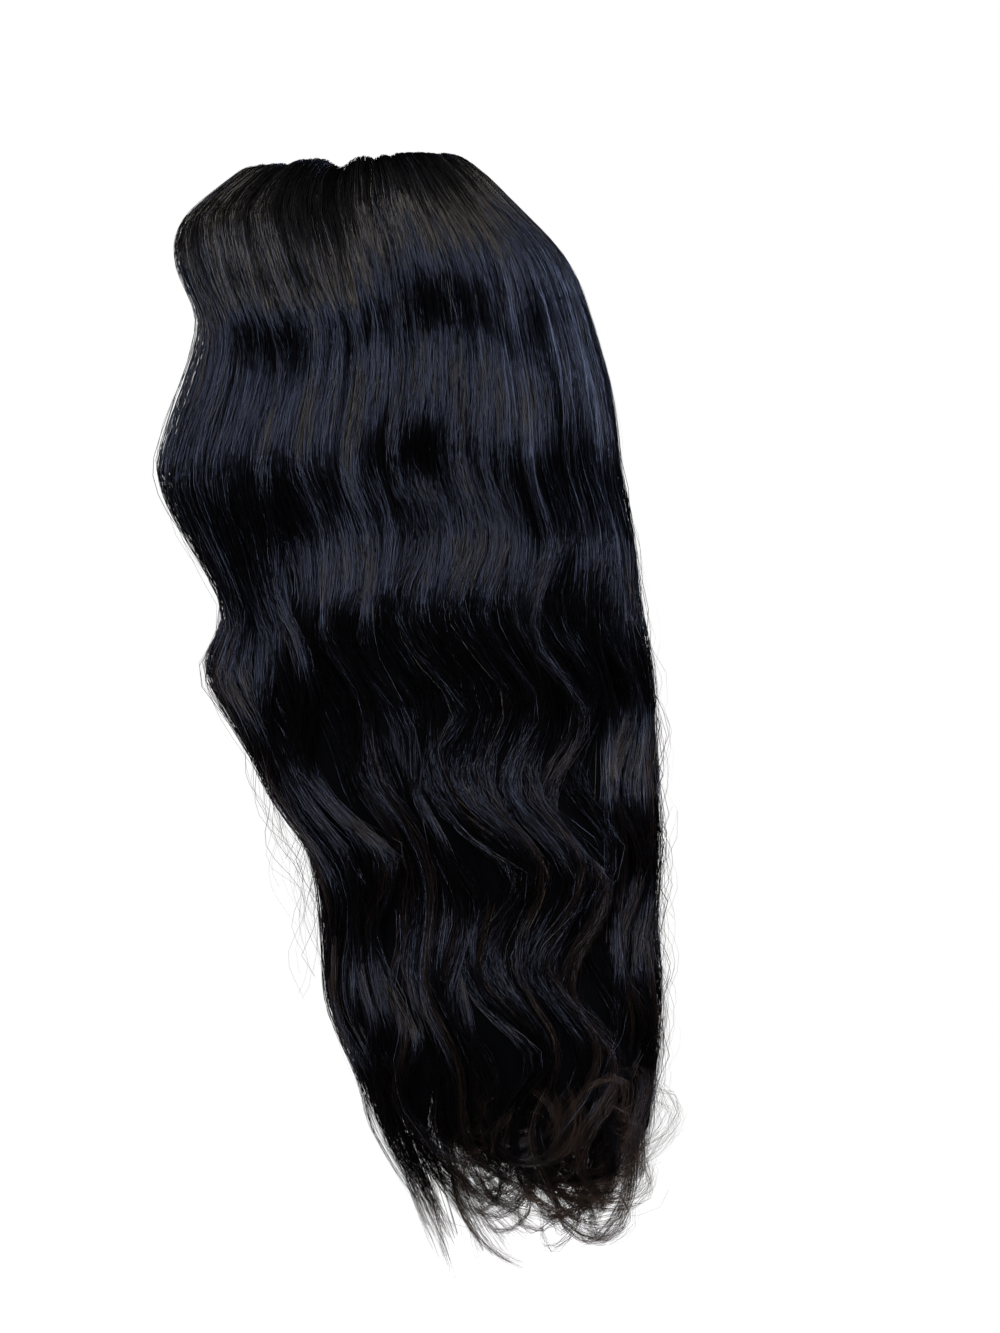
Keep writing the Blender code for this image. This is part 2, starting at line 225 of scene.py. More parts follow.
def column(name, fall):
    place = SECTION_COLUMNS.index(name)
    return smooth_through([row[0] for row in SECTIONS], [row[place] for row in SECTIONS], fall / MM) * MM


def outside_head(points, stand_off):
    """The points, with those nearer the head than stand_off moved out to that distance."""
    offset = points - HEAD_CENTRE
    depth = np.where(offset[..., 2] > 0, CROWN_HEIGHT, NAPE_DEPTH) + stand_off
    size = np.stack(
        [
            np.full_like(depth, HEAD_HALF_WIDTH + stand_off),
            np.full_like(depth, HEAD_HALF_LENGTH + stand_off),
            depth,
        ],
        axis=-1,
    )
    reach = np.linalg.norm(offset / size, axis=-1, keepdims=True)
    return HEAD_CENTRE + offset * np.maximum(1, 1 / reach)


def root_line(side, around):
    """Where the hair leaves the cap: along the parting, and round the crown at its back end."""
    along = np.clip((1 - around) / (1 - SWIRL_SHARE), 0, 1)
    swirl = math.pi / 2 * np.clip(around / SWIRL_SHARE, 0, 1)
    across = PARTING_GAP * np.sin(swirl)
    length = PARTING_FRONT + (CROWN_POINT - PARTING_FRONT) * along**1.8 + CROWN_SWIRL * np.cos(swirl)
    drop = (length / HEAD_HALF_LENGTH) ** 2 + (across / HEAD_HALF_WIDTH) ** 2
    height = HEAD_CENTRE[2] + CROWN_HEIGHT * np.sqrt(np.maximum(0, 1 - drop))
    return outside_head(np.stack([side * across, length, height], axis=-1), HAIR_CLEARANCE)


def fallen(side, around, fall, shift):
    """A point on the outside of the hair as it falls: around is 0 at the back and 1 at the front edge.

    The waves of the two halves differ, but they meet where the halves do, at the back.
    """
    apart = side * smoothstep(0.0, 0.15, around) * smoothstep(1.0, 0.8, around)
    wander = CREST_WANDER * np.sin(2 * math.pi * (1.6 * around + 0.2 * apart))
    ripple = 5 * MM * np.sin(2 * math.pi * (4.3 * around + 0.35 * apart))
    ripple = ripple + 3 * MM * np.sin(2 * math.pi * 9.1 * around)
    crest = fall + wander * smoothstep(*WAVES_FROM, fall) + (ripple + shift) * smoothstep(100 * MM, 170 * MM, fall)
    front, back, half_width, edge, middle = (
        column(name, crest) for name in ("front", "back", "half_width", "edge", "middle")
    )
    to_side = math.pi / 2 * np.clip(around / 0.5, -1, 1)
    edge_turn = np.arccos(np.minimum(edge / half_width, 0.97))
    to_edge = edge_turn * np.clip((around - 0.5) / 0.5, 0, 1.15)
    across = half_width * np.where(around < 0.5, np.sin(to_side), np.cos(to_edge))
    length = np.where(
        around < 0.5,
        middle + (back - middle) * np.cos(to_side),
        middle - (middle - front) * np.sin(to_edge) / np.sin(edge_turn),
    )
    level, front_level = column("height", fall), column("front_height", fall)
    height = level + (front_level - level) * smoothstep(0.4, 1.0, around)
    for at, half_wide, deep in DIPS:
        height = height - deep * MM * np.exp(-(((around - at) / half_wide) ** 2)) * smoothstep(70 * MM, 15 * MM, fall)
    drift = BACK_SWAY * np.sin(2 * math.pi * fall / WAVE_LENGTH) * smoothstep(*WAVES_FROM, fall)
    drift = drift * (1 - smoothstep(0, 0.5, around))
    return np.stack([side * across + drift, length, height], axis=-1)


def outside(side, around, fall, shift=0.0):
    """The outside of the hair, from its roots on the cap down, with its waves moved up by shift."""
    sway = SWAY * np.sin(2 * math.pi * fall / WAVE_LENGTH + 0.8 * side) * smoothstep(*WAVES_FROM, fall)
    free = np.sin(math.pi * np.clip(around, 0, 1))
    lift = smoothstep(0, RISE, fall)[..., None]
    swayed = around + sway / GIRTH * free
    return root_line(side, around) * (1 - lift) + fallen(side, swayed, fall, shift) * lift


def outward(side, around, fall, shift=0.0):
    """The direction out of the hair's surface."""
    step = 4 * MM
    after, before = around + step / GIRTH, around - step / GIRTH
    across = outside(side, after, fall, shift) - outside(side, before, fall, shift)
    down = outside(side, around, fall + step, shift) - outside(side, around, np.maximum(fall - step, 0), shift)
    normal = np.cross(across, down) * side
    return normal / np.linalg.norm(normal, axis=-1, keepdims=True)


# The hair: about 11,000 glossy black strands, each a flat ribbon with the rounded shading of a hair, gathered in
# locks that hang from the parting and from the cap's wefts. Each stands for about eleven real hairs. The locks
# wave together on top and part towards their curled, thin ends, where brown is painted backlight: the colour of
# light shining through thin hair, painted into the strands.
def black_hair():
    """Dyed human hair: near black, with glints every 7 mm or so along each strand, and painted backlight: brown where
    it thins out, for the light shining through it.
    """
    material, tree, shader = new_material(
        "black_human_hair", {"Roughness": 0.28, "IOR": 1.55, "Specular IOR Level": 0.5}
    )
    lean = add_node(tree, "UVMap", uv_map="lean")
    share = add_node(tree, "SeparateXYZ", {"Vector": lean.outputs["UV"]})
    # Painted backlight: this ramp turns the strands brown where light would shine through thin hair, and the tint
    # below warms their shine there.
    tone = add_node(tree, "ValToRGB", {"Fac": share.outputs["X"]})
    tone.color_ramp.elements[0].color = linear("#060505")
    tone.color_ramp.elements[1].color = linear("#493a2e")
    tone.color_ramp.elements.new(0.35).color = linear("#0a0706")
    tint = add_node(tree, "ValToRGB", {"Fac": share.outputs["X"]})
    tint.color_ramp.elements[0].color = linear("#ffffff")
    tint.color_ramp.elements[1].position = 0.5
    tint.color_ramp.elements[1].color = linear("#ffdfc2")
    tree.links.new(tint.outputs["Color"], shader.inputs["Specular Tint"])
    along = add_node(tree, "UVMap", uv_map="along")
    grain = add_node(tree, "Mapping", {"Vector": along.outputs["UV"], "Scale": (1, 1 / 0.007, 1)})
    glint = add_node(tree, "TexNoise", {"Vector": grain.outputs["Vector"], "Scale": 1.0, "Detail": 1.0})
    bump = add_node(tree, "Bump", {"Height": glint.outputs["Fac"], "Distance": 0.0005, "Strength": 1.0})
    tree.links.new(bump.outputs["Normal"], shader.inputs["Normal"])
    tree.links.new(tone.outputs["Color"], shader.inputs["Base Color"])
    return material


LOCKS = 8
STRANDS_PER_LOCK = 680
HAIR_SECTIONS = (
    # name, first lock, last lock
    ("hair_back", 0, 1),
    ("hair_side", 2, 4),
    ("hair_front", 5, 7),
)
# Each lock's end, from the back forwards: its whole length in mm, how far its tip curls round in degrees, and the
# length of the curl in mm.
LOCK_ENDS = (
    (690, 170, 85),
    (728, 290, 108),
    (738, 310, 112),
    (758, 330, 122),
    (712, 310, 115),
    (708, 120, 100),
    (698, 35, 100),
    (682, 20, 100),
)
# The hair in layers, from the outermost in: share of the strands, bundles in each lock, depth from and to as
# shares of the hair's whole depth, the fall in mm down to which its roots are spread over the cap, the number
# of straight steps in a strand, and the strand's width in mm. A strand further in is wider, and stands for more
# real hairs than one on the outside.
LAYERS = (
    (0.62, 3, 0.00, 0.25, 0, 52, 0.36),
    (0.22, 2, 0.30, 0.62, 110, 32, 0.60),
    (0.16, 2, 0.65, 1.00, 200, 28, 0.90),
)
# A strand's steps are short at the root, over the sides of the head and in the curl: share of the steps, share of
# the length.
STEPS_AT = (0, 0.077, 0.115, 0.44, 0.73, 1)
LENGTHS_AT = (0, 0.05, 0.11, 0.40, 0.78, 1)
# The folds that break up the waves: around, fall in mm, half the width as a share, half the height in mm, and how
# many degrees the hair turns up (to the sky) there.
FOLDS = (
    (0.625, 88, 0.045, 30, 18),
    (0.480, 84, 0.060, 26, -12),
    (0.460, 127, 0.090, 14, -19),
    (0.820, 132, 0.080, 13, 21),
    (0.700, 134, 0.050, 13, 18),
    (0.600, 132, 0.050, 10, 12),
    (0.860, 169, 0.060, 13, -14),
    (0.730, 171, 0.080, 15, -15),
    (0.350, 118, 0.060, 16, -12),
    (0.170, 108, 0.080, 30, -14),
    (0.840, 216, 0.050, 12, 9),
    (0.690, 219, 0.070, 15, 19),
    (0.720, 268, 0.070, 12, -10),
    (0.490, 223, 0.026, 10, -14),
    (0.500, 249, 0.026, 9, 24),
    (0.520, 268, 0.050, 8, -6),
    (0.405, 240, 0.060, 26, 22),
    (0.600, 243, 0.035, 26, 17),
    (0.280, 306, 0.100, 15, -18),
    (0.160, 300, 0.080, 16, -14),
    (0.740, 300, 0.050, 16, 10),
    (0.630, 312, 0.040, 10, 12),
    (0.890, 366, 0.060, 22, 20),
    (0.880, 318, 0.060, 12, -10),
    (0.720, 385, 0.070, 34, -10),
    (0.280, 352, 0.100, 22, -8),
    (0.300, 385, 0.120, 14, -12),
    (0.360, 440, 0.060, 12, 8),
    (0.385, 448, 0.050, 11, 9),
    (0.300, 498, 0.120, 16, -10),
    (0.540, 526, 0.050, 14, 6),
    (0.715, 545, 0.060, 13, 18),
    (0.860, 532, 0.060, 16, 10),
)
# How a lock's bundles differ from it. A pair is the least and the most, a spread is one standard deviation.
LENGTH_SPREAD = 14  # mm
CURL_SHARE = (0.75, 1.15)
CURL_LENGTH_SHARE = (0.85, 1.1)
FLATNESS = (0.85, 1)  # a curl of 1 lies in the hair's surface, and one of less turns inwards too
SAME_WAY_FROM = 0.65  # around: from here forwards all the tips curl the same way
PHASE_SPREAD = 0.6  # radians
WAVE_SHARE = (0.9, 1.12)
SWING = (3, 10)  # mm to each side
SINKING = (0, 4)  # mm
SHIFT_SPREAD = 4  # mm
TUFT_RISE = (0, 1.5)  # mm: how far a bundle stands up beside the parting
TUFT_AT, TUFT_LENGTH = 24 * MM, 15 * MM  # where along the fall it stands up
# A bundle parts into wisps and a wisp into fine tufts. The spreads are those of a wisp, then of a tuft.
WISPS = 4
TUFTS = 4
WISP_PHASE_SPREAD = 0.3  # radians
WISP_SHIFT_SPREAD = 2.5  # mm
WISP_TILT_SPREAD = 4  # degrees
WISP_LENGTH_SPREAD = 6  # mm
WISP_CURL_SPREAD = 0.06
CURL_FROM_SHARE = (0.95, 1.05)
TUFT_TILT_SPREAD = 2.5  # degrees
# The share of the wisps that are browner where they hang loose, how brown these are, and how brown the others are.
# This brown is painted backlight, standing for light shining through loose hair.
BROWN_WISPS, BROWNER, BROWN = 0.14, 0.45, 0.12
# Stray strands: where around the back edge ends and the front edge starts, the share of strands that stray at the
# back edge, at the front edge and elsewhere, how far they stand off, and what their sway and width are times.
BACK_EDGE, FRONT_EDGE = 0.1, 0.93
STRAY_SHARE = (0.15, 0.1, 0.04)
STRAY_REACH = (14, 8)  # mm, at the back edge and elsewhere
STRAY_SWING, STRAY_WIDTH = 1.8, 0.85
STRAY_CURL_SPREAD, CURL_SPREAD = 0.2, 0.03  # of the strays, and of the other strands
# The front edge's strays end early and are blown forwards: where they end and how far they go, in mm.
WAYWARD_ENDS = (440, 540)
WAYWARD_REACH = (4, 20)
WAYWARD_FROM = (395 * MM, 465 * MM)
# Some strands are shorter by up to this, the others by little, and those further in end sooner.
SHORT_SHARE = 0.4
SHORT_BY = 170  # mm
FRAYED_BY = 12  # mm
INNER_SHORT_BY = 50 * MM
# How much the hair changes along its fall, and from where to where: from held close to loose, from spread to drawn
# together in bundles, from bundles to joined wisps, and how far the waves of neighbours part in height and in time.
LOOSE_FROM = (180 * MM, 520 * MM)
SPREAD, DRAWN, DRAWN_FROM = 1.08, 0.36, (250 * MM, 680 * MM)
JOINED_LOOSE, JOINED, JOINED_FROM = 0.2, 0.6, (500 * MM, 640 * MM)
STREWN_LOOSE, STREWN, STREWN_FROM = 0.7, 1.3, (430 * MM, 600 * MM)
PHASE_AT_ROOTS, PHASE_LOOSE = 0.3, 1.6
# The front edge keeps its line: where around this starts and ends, and the share of the sway that it takes off.
HELD_FROM, HELD = (0.86, 1.0), 0.75
# Each strand's own frizz and slow drift across its neighbours, the rounding of a bundle's sides, the depth of its
# own waves, and how far a strand runs from its root on the cap before it is at its depth.
FRIZZ, FRIZZ_LENGTH = 0.45 * MM, 5 * MM
DRIFT, DRIFT_FROM = 2.5 * MM, (20 * MM, 120 * MM)
ROUNDING, ROUNDING_FROM = 4.5 * MM, (30 * MM, 380 * MM)
WAVE_DEPTH = 2 * MM
ROOT_RUN = 45 * MM
FULL_TURN = 6.28  # radians
# The shortest and longest waves, in mm, of the drift, of the strays' stand-off and of the blown ones.
DRIFT_WAVES, STRAY_WAVES, BLOWN_WAVES = (150, 350), (55, 120), (40, 80)
# How many degrees the hair's shine is turned along bundles, wisps and tufts, by each strand and by each step.
BUNDLE_TILT, WISP_TILT, TUFT_TILT, STRAND_TILT, STEP_TILT = 2.5, 1.5, 3.5, 3, 2
BUNDLE_TILT_WAVES, WISP_TILT_WAVES, TUFT_TILT_WAVES = (70, 140), (40, 90), (30, 110)
ROLL, ROLL_SPREAD = 0.4, 0.6  # radians about the strand: towards a bundle's sides, and of each strand
# One strand in ten is turned further and glints alone.
GLINTS, GLINT_TILT = 0.1, 12
# Brown as painted backlight, standing for light shining through thin hair, comes in over the last of the fall, down
# the front edge from cheek height, and in strays on the outline.
THIN_BROWN, THIN_FROM = 0.75, (605 * MM, 700 * MM)
EDGE_BROWN, EDGE_FROM, EDGE_BELOW = 0.2, (0.9, 0.98), (300 * MM, 350 * MM)
STRAY_BROWN, OUTLINE_FROM = 0.8, (0.25, 0.5)
BROWN_SPREAD = 0.04
# A ribbon's edges face this far away from where its middle does, so that it shades as a round strand.
SPLAY = math.radians(48)
# A strand's width, as shares of its layer's: between these two, and this much at the root and at the tip.
WIDTH_SHARE = (0.7, 1.2)
ROOT_WIDTH, TIP_WIDTH = 0.4, 0.3


def unit(vectors):
    return vectors / np.maximum(np.linalg.norm(vectors, axis=-1, keepdims=True), 1e-9)


def ribbons(name, points, facing, widths, brown, material):
    """A mesh of ribbons along points[strand, step], which face outward and shade as round hairs do."""
    strands, steps, _ = points.shape
    across = unit(np.cross(unit(np.gradient(points, axis=1)), facing))
    half = across * widths[..., None] / 2
    corners = np.stack([points - half, points + half], axis=2).reshape(-1, 3)
    ahead, aside = facing * math.cos(SPLAY), across * math.sin(SPLAY)
    normals = np.stack([ahead - aside, ahead + aside], axis=2).reshape(-1, 3)
    first = (np.arange(strands)[:, None] * steps + np.arange(steps - 1)[None, :]).ravel() * 2
    quads = np.stack([first, first + 1, first + 3, first + 2], axis=-1)
    mesh = bpy.data.meshes.new(name)
    mesh.vertices.add(len(corners))
    mesh.vertices.foreach_set("co", corners.ravel())
    mesh.loops.add(quads.size)
    mesh.loops.foreach_set("vertex_index", quads.ravel())
    mesh.polygons.add(len(quads))
    mesh.polygons.foreach_set("loop_start", np.arange(len(quads)) * 4)
    mesh.polygons.foreach_set("use_smooth", np.ones(len(quads), bool))
    mesh.update(calc_edges=True)
    lengths = np.linalg.norm(np.diff(points, axis=1), axis=-1)
    run = np.concatenate([np.zeros((strands, 1)), np.cumsum(lengths, axis=1)], axis=1)
    number = np.repeat(np.arange(strands)[:, None] * 0.37, steps, axis=1)
    # The second map carries each strand's share of painted backlight: brown for light shining through thin hair.
    for layer_name, u, v in (("along", number, run), ("lean", brown, brown)):
        layer = mesh.uv_layers.new(name=layer_name)
        uv = np.repeat(np.stack([u, v], axis=-1)[:, :, None], 2, axis=2).reshape(-1, 2)
        layer.data.foreach_set("uv", uv[quads.ravel()].ravel())
    mesh.normals_split_custom_set_from_vertices(normals.tolist())
    mesh.materials.append(material)
    made = bpy.data.objects.new(name, mesh)
    bpy.context.scene.collection.objects.link(made)
    return made


def fold_turn(around, fall):
    """How many radians the folds turn the hair up at each place."""
    turn = np.zeros_like(fall)
    for at, down, half_width, half_height, degrees in FOLDS:
        reach = ((around - at) / half_width) ** 2 + ((fall / MM - down) / half_height) ** 2
        turn += math.radians(degrees) * np.exp(-reach / 1.4)
    return turn


def waver(rng, groups, member, fall, shortest, longest):
    """A smooth wave along the fall for each group, from -1 to 1, given to the group's members."""
    length = rng.uniform(shortest, longest, groups)[member][:, None] * MM
    phase = rng.uniform(0, 2 * math.pi, groups)[member][:, None]
    return np.sin(2 * math.pi * fall / length + phase)


def curl_tips(points, facing, bend, way):
    """The paths with each step turned by bend, aside and inwards, so that the ends curl round."""
    moves = np.diff(points, axis=1)
    lengths = np.maximum(np.linalg.norm(moves, axis=-1, keepdims=True), 1e-7)
    across = np.cross(moves / lengths, facing[:, 1:])
    aside = across * way - facing[:, 1:] * np.sqrt(np.maximum(0, 1 - way**2))
    turned = moves * np.cos(bend[:, 1:, None]) + aside * lengths * np.sin(bend[:, 1:, None])
    return np.concatenate([points[:, :1], points[:, :1] + np.cumsum(turned, axis=1)], axis=1)


def painted_backlight(rng, stray, wisp_brown, around, fall, share, loose):
    """Painted backlight, from 0 for black to 1 for brown: light shining through the thin ends, the front edge and the
    outermost strays.
    """
    thin = THIN_BROWN * smoothstep(*THIN_FROM, fall)
    edge = EDGE_BROWN * smoothstep(*EDGE_FROM, around) * smoothstep(*EDGE_BELOW, fall) + wisp_brown[:, None] * loose
    outermost = np.where(stray, STRAY_BROWN, 0)[:, None] * smoothstep(*OUTLINE_FROM, np.abs(around - 0.5)) * share
    noise = rng.normal(0, BROWN_SPREAD, (len(stray), 1))
    return np.clip(np.maximum(np.maximum(edge, thin), outermost) + noise, 0, 1)


def grow_layer(rng, side, first_lock, last_lock, part, bundles, shallow, deep, lowest_root, steps, width):
    """Paths, facing directions, widths and painted backlight (brown share) of one layer's strands in one sewn section.
    """
    spans = last_lock + 1 - first_lock
    count = int(STRANDS_PER_LOCK * spans * part)
    number = bundles * spans
    low, span = first_lock / LOCKS, 1 / LOCKS / bundles
    centre = low + span * (np.arange(number) + 0.5)
    lock_centres = (np.arange(LOCKS) + 0.5) / LOCKS
    length, curl, curl_length = (np.interp(centre, lock_centres, values) for values in zip(*LOCK_ENDS))
    length = (length + rng.normal(0, LENGTH_SPREAD, number)) * MM
    curl = np.radians(curl * rng.uniform(*CURL_SHARE, number))
    curl_length = curl_length * rng.uniform(*CURL_LENGTH_SHARE, number) * MM
    curl_way = np.where(centre > SAME_WAY_FROM, -side, rng.choice([-1, 1], number)) * rng.uniform(*FLATNESS, number)
    bundle_phase = rng.normal(0, PHASE_SPREAD, number)
    bundle_wave = WAVE_LENGTH * rng.uniform(*WAVE_SHARE, number)
    bundle_swing = rng.uniform(*SWING, number) * MM
    bundle_sunk = rng.uniform(*SINKING, number) * MM
    bundle_shift = rng.normal(0, SHIFT_SPREAD, number) * MM
    bundle_rise = rng.uniform(*TUFT_RISE, number) * MM

    # Each strand's bundle, its place across that from -1 to 1, its wisp and its fine tuft.
    bundle = rng.integers(0, number, count)
    place = rng.uniform(-1, 1, count)
    wisp = np.minimum(np.floor((place + 1) / 2 * WISPS), WISPS - 1)
    in_wisp, wisps = bundle * WISPS + wisp.astype(int), number * WISPS
    wisp_phase = rng.normal(0, WISP_PHASE_SPREAD, wisps)[in_wisp]
    wisp_shift = rng.normal(0, WISP_SHIFT_SPREAD, wisps)[in_wisp] * MM
    wisp_tilt = rng.normal(0, WISP_TILT_SPREAD, wisps)[in_wisp]
    wisp_end = length[bundle] + rng.normal(0, WISP_LENGTH_SPREAD, wisps)[in_wisp] * MM
    wisp_curl = curl[bundle] * rng.normal(1, WISP_CURL_SPREAD, wisps)[in_wisp]
    # Some wisps get more painted backlight: brown for light shining through loose hair.
    wisp_brown = np.where(rng.uniform(0, 1, wisps) < BROWN_WISPS, BROWNER, BROWN)[in_wisp]
    tuft = np.minimum(np.floor((place + 1) / 2 * WISPS * TUFTS) % TUFTS, TUFTS - 1)
    in_tuft, tufts = in_wisp * TUFTS + tuft.astype(int), wisps * TUFTS
    tuft_tilt = rng.normal(0, TUFT_TILT_SPREAD, tufts)[in_tuft]
    curl_from = wisp_end - curl_length[bundle] * rng.uniform(*CURL_FROM_SHARE, wisps)[in_wisp]

    # Where each strand starts and ends, and its steps between.
    backmost, frontmost = centre[bundle] < BACK_EDGE, centre[bundle] > FRONT_EDGE
    stray_share = np.where(backmost, STRAY_SHARE[0], np.where(frontmost, STRAY_SHARE[1], STRAY_SHARE[2]))
    stray = rng.uniform(0, 1, count) < stray_share
    depth = rng.uniform(shallow, deep, count)
    starts = rng.uniform(0, 1, count) * lowest_root * MM
    is_short = rng.uniform(0, 1, count) < SHORT_SHARE
    short = np.where(is_short, rng.uniform(0, SHORT_BY, count), rng.exponential(FRAYED_BY, count)) * MM
    wayward = stray & frontmost
    wayward_ends = rng.uniform(*WAYWARD_ENDS, count) * MM
    ends = np.where(wayward, wayward_ends, wisp_end - short - INNER_SHORT_BY * deep)
    forward = np.where(wayward, rng.uniform(*WAYWARD_REACH, count), 0) * MM
    share = np.interp(np.linspace(0, 1, steps + 1), STEPS_AT, LENGTHS_AT)[None, :]
    fall = starts[:, None] + (ends - starts)[:, None] * share

    # Its way round the hair: with its bundle and its wisp, with their sway, and with a little of its own.
    loose = smoothstep(*LOOSE_FROM, fall)
    drawn = SPREAD - DRAWN * smoothstep(*DRAWN_FROM, fall)
    to_wisp = ((wisp + 0.5) / WISPS * 2 - 1)[:, None]
    joined = JOINED_LOOSE * loose + JOINED * smoothstep(*JOINED_FROM, fall)
    within = place[:, None] + (to_wisp - place[:, None]) * joined
    around = centre[bundle][:, None] + within * drawn * span / 2
    turn = 2 * math.pi * fall / bundle_wave[bundle][:, None]
    phase = (bundle_phase[bundle] + wisp_phase)[:, None] * (PHASE_AT_ROOTS + PHASE_LOOSE * loose)
    held = 1 - HELD * smoothstep(*HELD_FROM, centre[bundle][:, None] + place[:, None] * span / 2)
    swing = bundle_swing[bundle][:, None] * np.where(stray, STRAY_SWING, 1)[:, None]
    around = around + held * loose * swing / GIRTH * np.sin(turn + phase)
    frizz = rng.normal(0, FRIZZ, (count, 1)) * np.sin(fall / FRIZZ_LENGTH + rng.uniform(0, FULL_TURN, (count, 1)))
    adrift = rng.normal(0, DRIFT, (count, 1)) * waver(rng, count, np.arange(count), fall, *DRIFT_WAVES)
    around = around + (frizz + adrift * smoothstep(*DRIFT_FROM, fall)) / GIRTH

    # Its depth under the hair's outside, or its lift over it.
    strewn = STREWN_LOOSE * loose + STREWN * smoothstep(*STREWN_FROM, fall)
    shift = (bundle_shift[bundle] + wisp_shift)[:, None] * (1 + strewn) * held
    skin = outside(side, around, fall, shift)
    facing = outward(side, around, fall, shift)
    thick = column("thick", fall) * smoothstep(0, 30 * MM, fall)
    rounding = ROUNDING * within**2 * smoothstep(*ROUNDING_FROM, fall)
    sunk = loose * (bundle_sunk[bundle][:, None] + WAVE_DEPTH * (1 + np.sin(turn + phase * 1.4)))
    rooted = smoothstep(0, ROOT_RUN, fall - starts[:, None] + np.where(lowest_root > 0, 0, 1))
    depths = (1 - (1 - depth[:, None]) * rooted) * thick + (rounding + sunk) * (1 - 0.6 * deep)
    farthest = np.where(backmost, *STRAY_REACH) * MM
    away = np.where(stray, rng.uniform(0, 1, count) * farthest, 0)[:, None] * smoothstep(0.2, 0.75, share)
    lifted = away * (0.4 + 0.6 * waver(rng, count, np.arange(count), fall, *STRAY_WAVES))
    risen = np.exp(-(((fall - TUFT_AT) / TUFT_LENGTH) ** 2))
    lifted = lifted + bundle_rise[bundle][:, None] * (1 - deep) * risen
    points = outside_head(skin - facing * (depths - lifted)[..., None], HAIR_CLEARANCE)
    blown = 1 + 0.35 * waver(rng, count, np.arange(count), fall, *BLOWN_WAVES)
    points[..., 1] -= forward[:, None] * smoothstep(*WAYWARD_FROM, fall) * blown

    in_curl = np.maximum(0, (fall - curl_from[:, None]) / (wisp_end - curl_from)[:, None])
    curl_noise = rng.normal(1, np.where(stray, STRAY_CURL_SPREAD, CURL_SPREAD), count)
    bend = (wisp_curl * curl_noise)[:, None] * in_curl**1.3
    points = curl_tips(points, facing, bend, curl_way[bundle][:, None, None])

    # The way that it faces, which sets where it shines: rolled about its length, and turned up or down.
    tangent = unit(np.gradient(points, axis=1))
    facing = unit(facing - tangent * np.sum(facing * tangent, axis=-1, keepdims=True))
    roll = (ROLL * within * loose)[..., None] + rng.normal(0, ROLL_SPREAD, (count, 1, 1))
    facing = facing * np.cos(roll) + np.cross(tangent, facing) * np.sin(roll)
    waves = waver(rng, number, bundle, fall, *BUNDLE_TILT_WAVES)
    tilt = fold_turn(around, fall) + math.radians(BUNDLE_TILT) * waves * loose
    tilt += math.radians(WISP_TILT) * waver(rng, wisps, in_wisp, fall, *WISP_TILT_WAVES)
    tilt += np.radians(wisp_tilt)[:, None] * (1 - 0.6 * loose)
    waves = waver(rng, tufts, in_tuft, fall, *TUFT_TILT_WAVES)
    tilt += math.radians(TUFT_TILT) * waves + np.radians(tuft_tilt)[:, None]
    glinting = np.where(rng.uniform(0, 1, (count, 1)) < GLINTS, rng.normal(0, GLINT_TILT, (count, 1)), 0)
    strand_tilt = rng.normal(0, STRAND_TILT, (count, 1)) * (1 + 0.5 * loose)
    tilt += np.radians(strand_tilt + rng.normal(0, STEP_TILT, fall.shape) + glinting)
    facing = facing * np.cos(tilt)[..., None] - tangent * np.sin(tilt)[..., None]

    at_root, at_tip = smoothstep(0, 0.03, share), smoothstep(0.75, 1, share)
    taper = (ROOT_WIDTH + (1 - ROOT_WIDTH) * at_root) * (1 - (1 - TIP_WIDTH) * at_tip)
    widths = width * MM * rng.uniform(*WIDTH_SHARE, (count, 1)) * taper * np.where(stray, STRAY_WIDTH, 1)[:, None]
    return points, facing, widths, painted_backlight(rng, stray, wisp_brown, around, fall, share, loose)


def grow_section(rng, side, first_lock, last_lock):
    """The strands of one sewn section, layer by layer."""
    return [grow_layer(rng, side, first_lock, last_lock, *row) for row in LAYERS]


hair = black_hair()
rng = np.random.default_rng(26)
for side, word in ((1, "left"), (-1, "right")):
    for section, first_lock, last_lock in HAIR_SECTIONS:
        node = f"{section}_{word}"
        for layer, grown in zip(("outer", "middle", "inner"), grow_section(rng, side, first_lock, last_lock)):
            strands = ribbons(f"{node}_{layer}_strands", *grown, hair)
            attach(strands, "root")
            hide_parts(node)


# The hair's inner mass: what is left of the thousands of strands that no eye can tell apart.
# It lies under the strands, a dark body with a grain along the hair, and stops short of the thin ends. It is
# painted darker and duller than the strands, as painted shade.
def hair_mass():
    """Packed black hair in shadow, as painted shade: a dull black, darker than the strands, with 1 mm grooves along
    the fall.
    """
    material, tree, shader = new_material("packed_hair_painted_shade", {"Roughness": 0.8, "IOR": 1.55, "Specular IOR Level": 0.05})
    along = add_node(tree, "UVMap", uv_map="along")
    grain = add_node(tree, "Mapping", {"Vector": along.outputs["UV"], "Scale": (GIRTH / (1.0 * MM), 6, 1)})
    noise = add_node(tree, "TexNoise", {"Vector": grain.outputs["Vector"], "Scale": 1.0, "Detail": 2.0})
    bump = add_node(tree, "Bump", {"Height": noise.outputs["Fac"], "Distance": 0.001, "Strength": 0.8})
    tree.links.new(bump.outputs["Normal"], shader.inputs["Normal"])
    # Painted shade: a darker black than the strands' own.
    shader.inputs["Base Color"].default_value = linear("#030303")
    return material


# How deep the mass starts under the hair's outside and how thick it is, as shares of the hair's depth, where along
# the fall it ends, how far its lower edge is jagged, and over what length it thins out above that.
MASS_FROM, MASS_THICK = 0.40, 0.5
MASS_ENDS = 624 * MM
MASS_JAG = 16 * MM
MASS_THINS_OVER = 110 * MM
MASS_STARTS = 6 * MM


